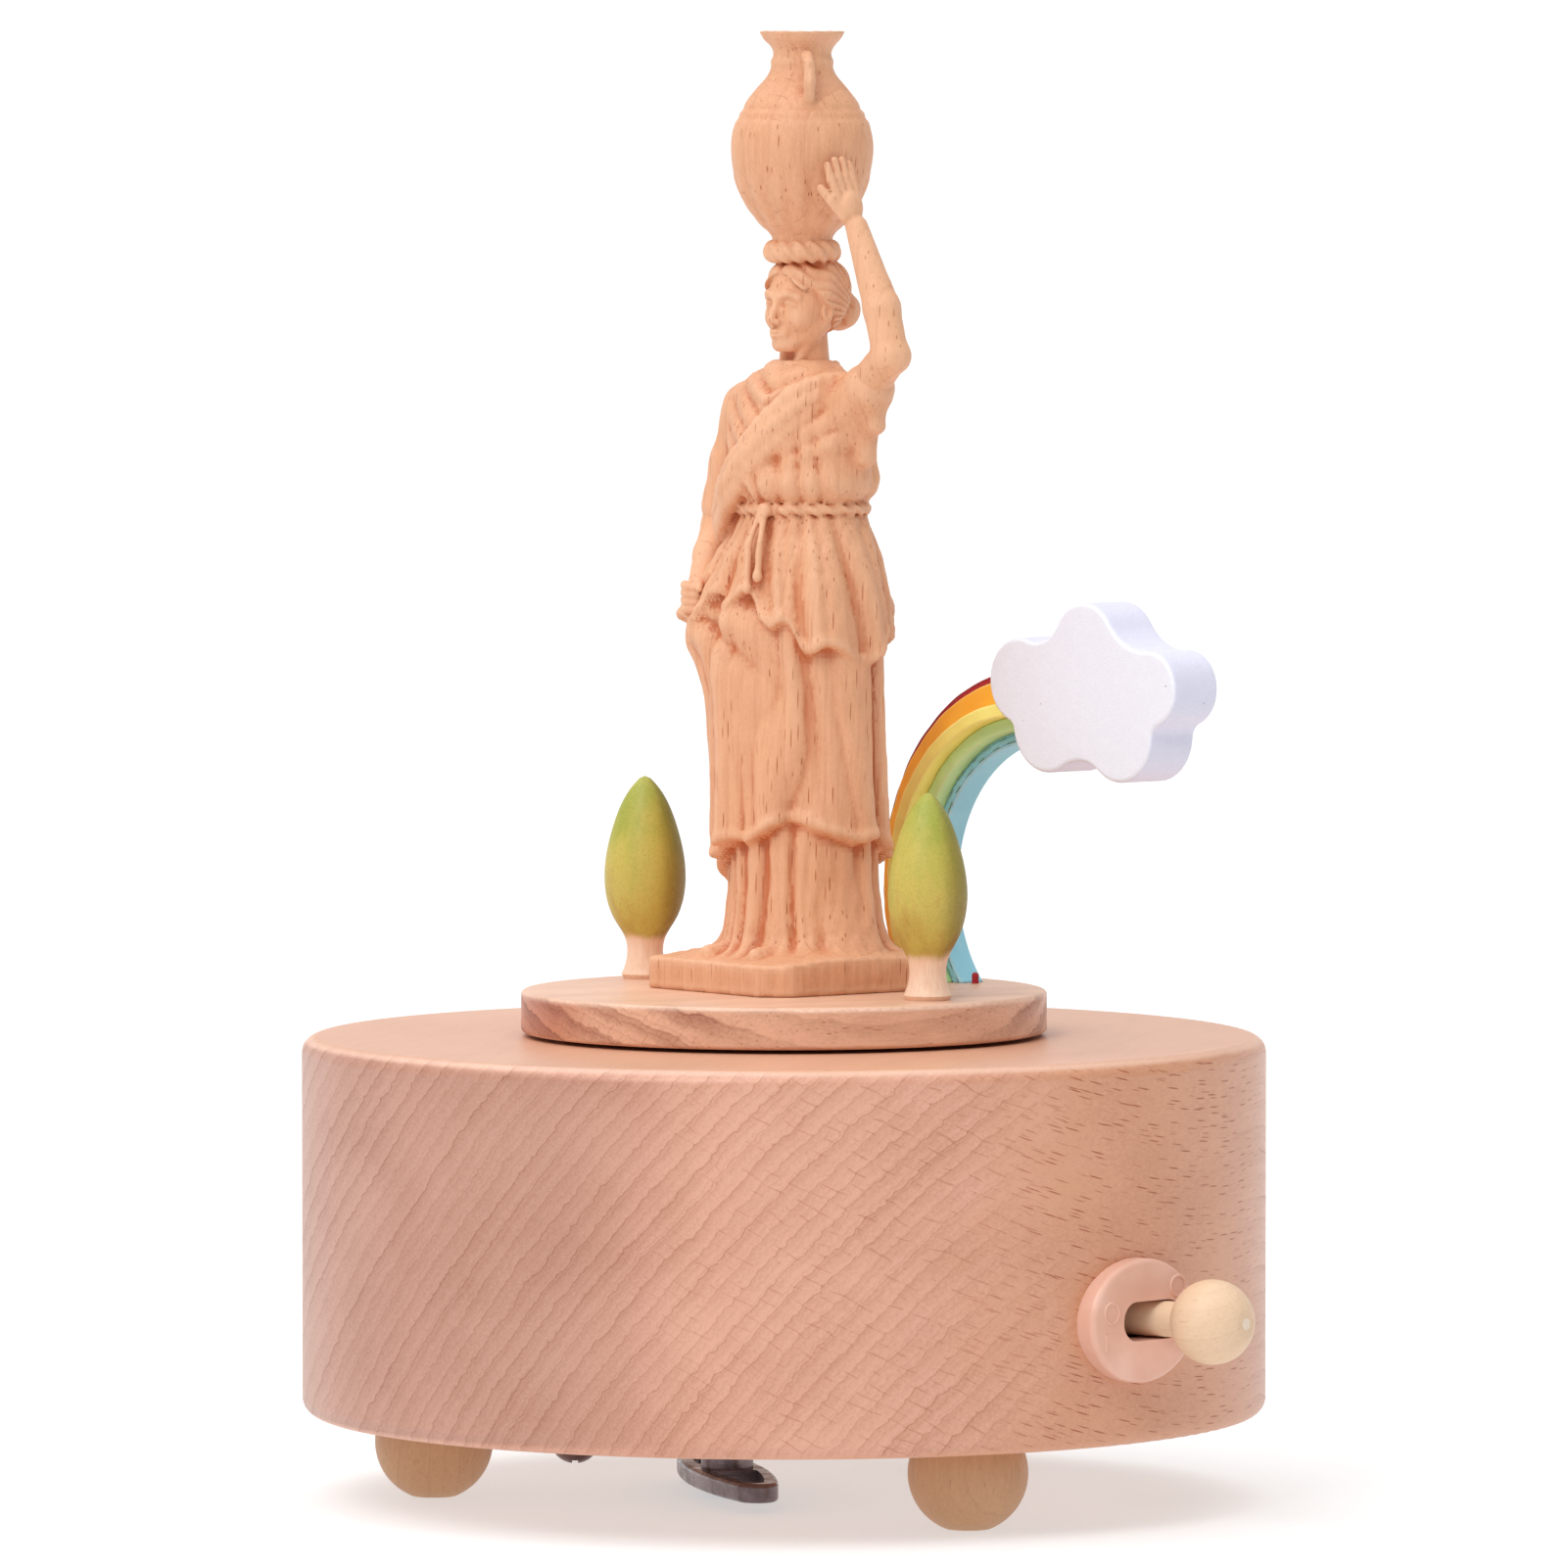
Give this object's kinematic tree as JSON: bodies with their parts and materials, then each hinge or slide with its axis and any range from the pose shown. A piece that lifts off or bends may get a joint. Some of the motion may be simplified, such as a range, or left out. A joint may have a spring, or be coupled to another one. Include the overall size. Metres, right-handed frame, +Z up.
{
  "type": "wooden music box",
  "caption": "Round wooden music box on ball feet: a wind-up movement turns a disc with a carved figure, turned trees and a rainbow ending in a cloud; a side lever stops it.",
  "frame": {"origin": "on the ground, on the axis of the drum and of the turntable", "axes": "+Z up along the turntable's axis, -Y the side the picture was taken from, +X to the right in it"},
  "size_m": [0.11, 0.11, 0.1672],
  "materials": {
    "beech_drum": "sanded, clear satin lacquer",
    "beech_cover": "sanded plywood",
    "beech_disc": "sanded, clear satin lacquer",
    "beech_figure": "hand carved, left matt",
    "beech_turned": "turned, matt",
    "green_tree": "turned, stained green over a bare trunk",
    "white_cloud": "painted white, matt",
    "paint_red": "painted, matt",
    "paint_orange": "painted, matt",
    "paint_yellow": "painted, matt",
    "paint_green": "painted, matt",
    "paint_blue": "painted, matt",
    "plate_plastic": "moulded, satin",
    "washer_plastic": "moulded",
    "tip_plastic": "moulded",
    "brass": "turned",
    "steel": "bright",
    "frame_metal": "zinc casting",
    "key_metal": "dark nickel"
  },
  "bodies": {
    "case": {"drum_case": "beech_drum", "bottom_cover": "beech_cover", "foot_left": "beech_turned", "foot_right": "beech_turned", "foot_back": "beech_turned", "foot_dowels": "beech_turned", "cover_screws": "steel", "lever_plate": "plate_plastic", "spindle_bush": "brass", "slip_washer": "washer_plastic", "bedplate": "frame_metal", "movement_screws": "steel", "bridge_posts": "steel", "movement_bridge": "frame_metal", "cylinder_bracket_left": "frame_metal", "cylinder_bracket_right": "frame_metal", "comb_block": "frame_metal", "comb": "steel", "governor_frame": "frame_metal", "idler_bracket": "frame_metal", "click_pawl": "steel", "lever_pivot_post": "steel"},
    "turntable": {"turntable_disc": "beech_disc", "turntable_hub": "steel", "spindle": "steel", "spindle_gear": "brass", "carved_figure": "beech_figure", "figure_screws": "steel", "tree_left": "green_tree", "tree_right": "green_tree", "tree_dowels": "beech_turned", "cloud": "white_cloud", "rainbow_peg": "paint_red", "rainbow_red": "paint_red", "rainbow_orange": "paint_orange", "rainbow_yellow": "paint_yellow", "rainbow_green": "paint_green", "rainbow_blue": "paint_blue"},
    "barrel": {"barrel_drum": "brass", "barrel_lid": "brass", "barrel_gear": "brass", "mainspring": "steel"},
    "winder": {"winding_arbor": "steel", "winding_key": "key_metal", "ratchet_wheel": "steel"},
    "cylinder": {"pin_cylinder": "brass", "cylinder_arbor": "steel", "cylinder_pinion": "brass", "cylinder_gear": "brass"},
    "idler": {"idler_shaft": "steel", "idler_pinion": "brass", "worm_wheel": "brass"},
    "governor": {"governor_worm": "brass", "brake_disc": "brass", "governor_fan": "washer_plastic"},
    "lever": {"stop_arm": "steel", "lever_stick": "beech_turned", "lever_ball": "beech_turned", "lever_tip_pin": "tip_plastic"}
  },
  "joints": [
    {"name": "turntable_spin", "type": "hinge", "parent": "case", "child": "turntable", "pos_m": [0, 0, 0.05315], "axis": [0, 0, 1], "continuous": true},
    {"name": "barrel_spin", "type": "hinge", "parent": "case", "child": "barrel", "pos_m": [-0.0065, 0, 0.021], "axis": [0, 0, 1], "continuous": true},
    {"name": "key_wind", "type": "hinge", "parent": "case", "child": "winder", "pos_m": [-0.0065, 0, 0.001], "axis": [0, 0, 1], "continuous": true},
    {"name": "cylinder_spin", "type": "hinge", "parent": "case", "child": "cylinder", "pos_m": [0.0082, 0, 0.0287], "axis": [1, 0, 0], "continuous": true},
    {"name": "idler_spin", "type": "hinge", "parent": "case", "child": "idler", "pos_m": [0.0293, -0.008, 0.0227], "axis": [1, 0, 0], "continuous": true},
    {"name": "governor_spin", "type": "hinge", "parent": "case", "child": "governor", "pos_m": [0.0299, -0.01435, 0.0227], "axis": [0, 0, 1], "continuous": true},
    {"name": "stop_lever", "type": "hinge", "parent": "case", "child": "lever", "pos_m": [0.02468, -0.02468, 0.0238], "axis": [0, 0, 1], "range_deg": [-12, 0]}
  ],
  "couplings": [
    {"joint": "barrel_spin", "follows": "turntable_spin", "ratio": -0.625},
    {"joint": "cylinder_spin", "follows": "turntable_spin", "ratio": -2.5},
    {"joint": "idler_spin", "follows": "turntable_spin", "ratio": 10},
    {"joint": "governor_spin", "follows": "turntable_spin", "ratio": 90}
  ]
}
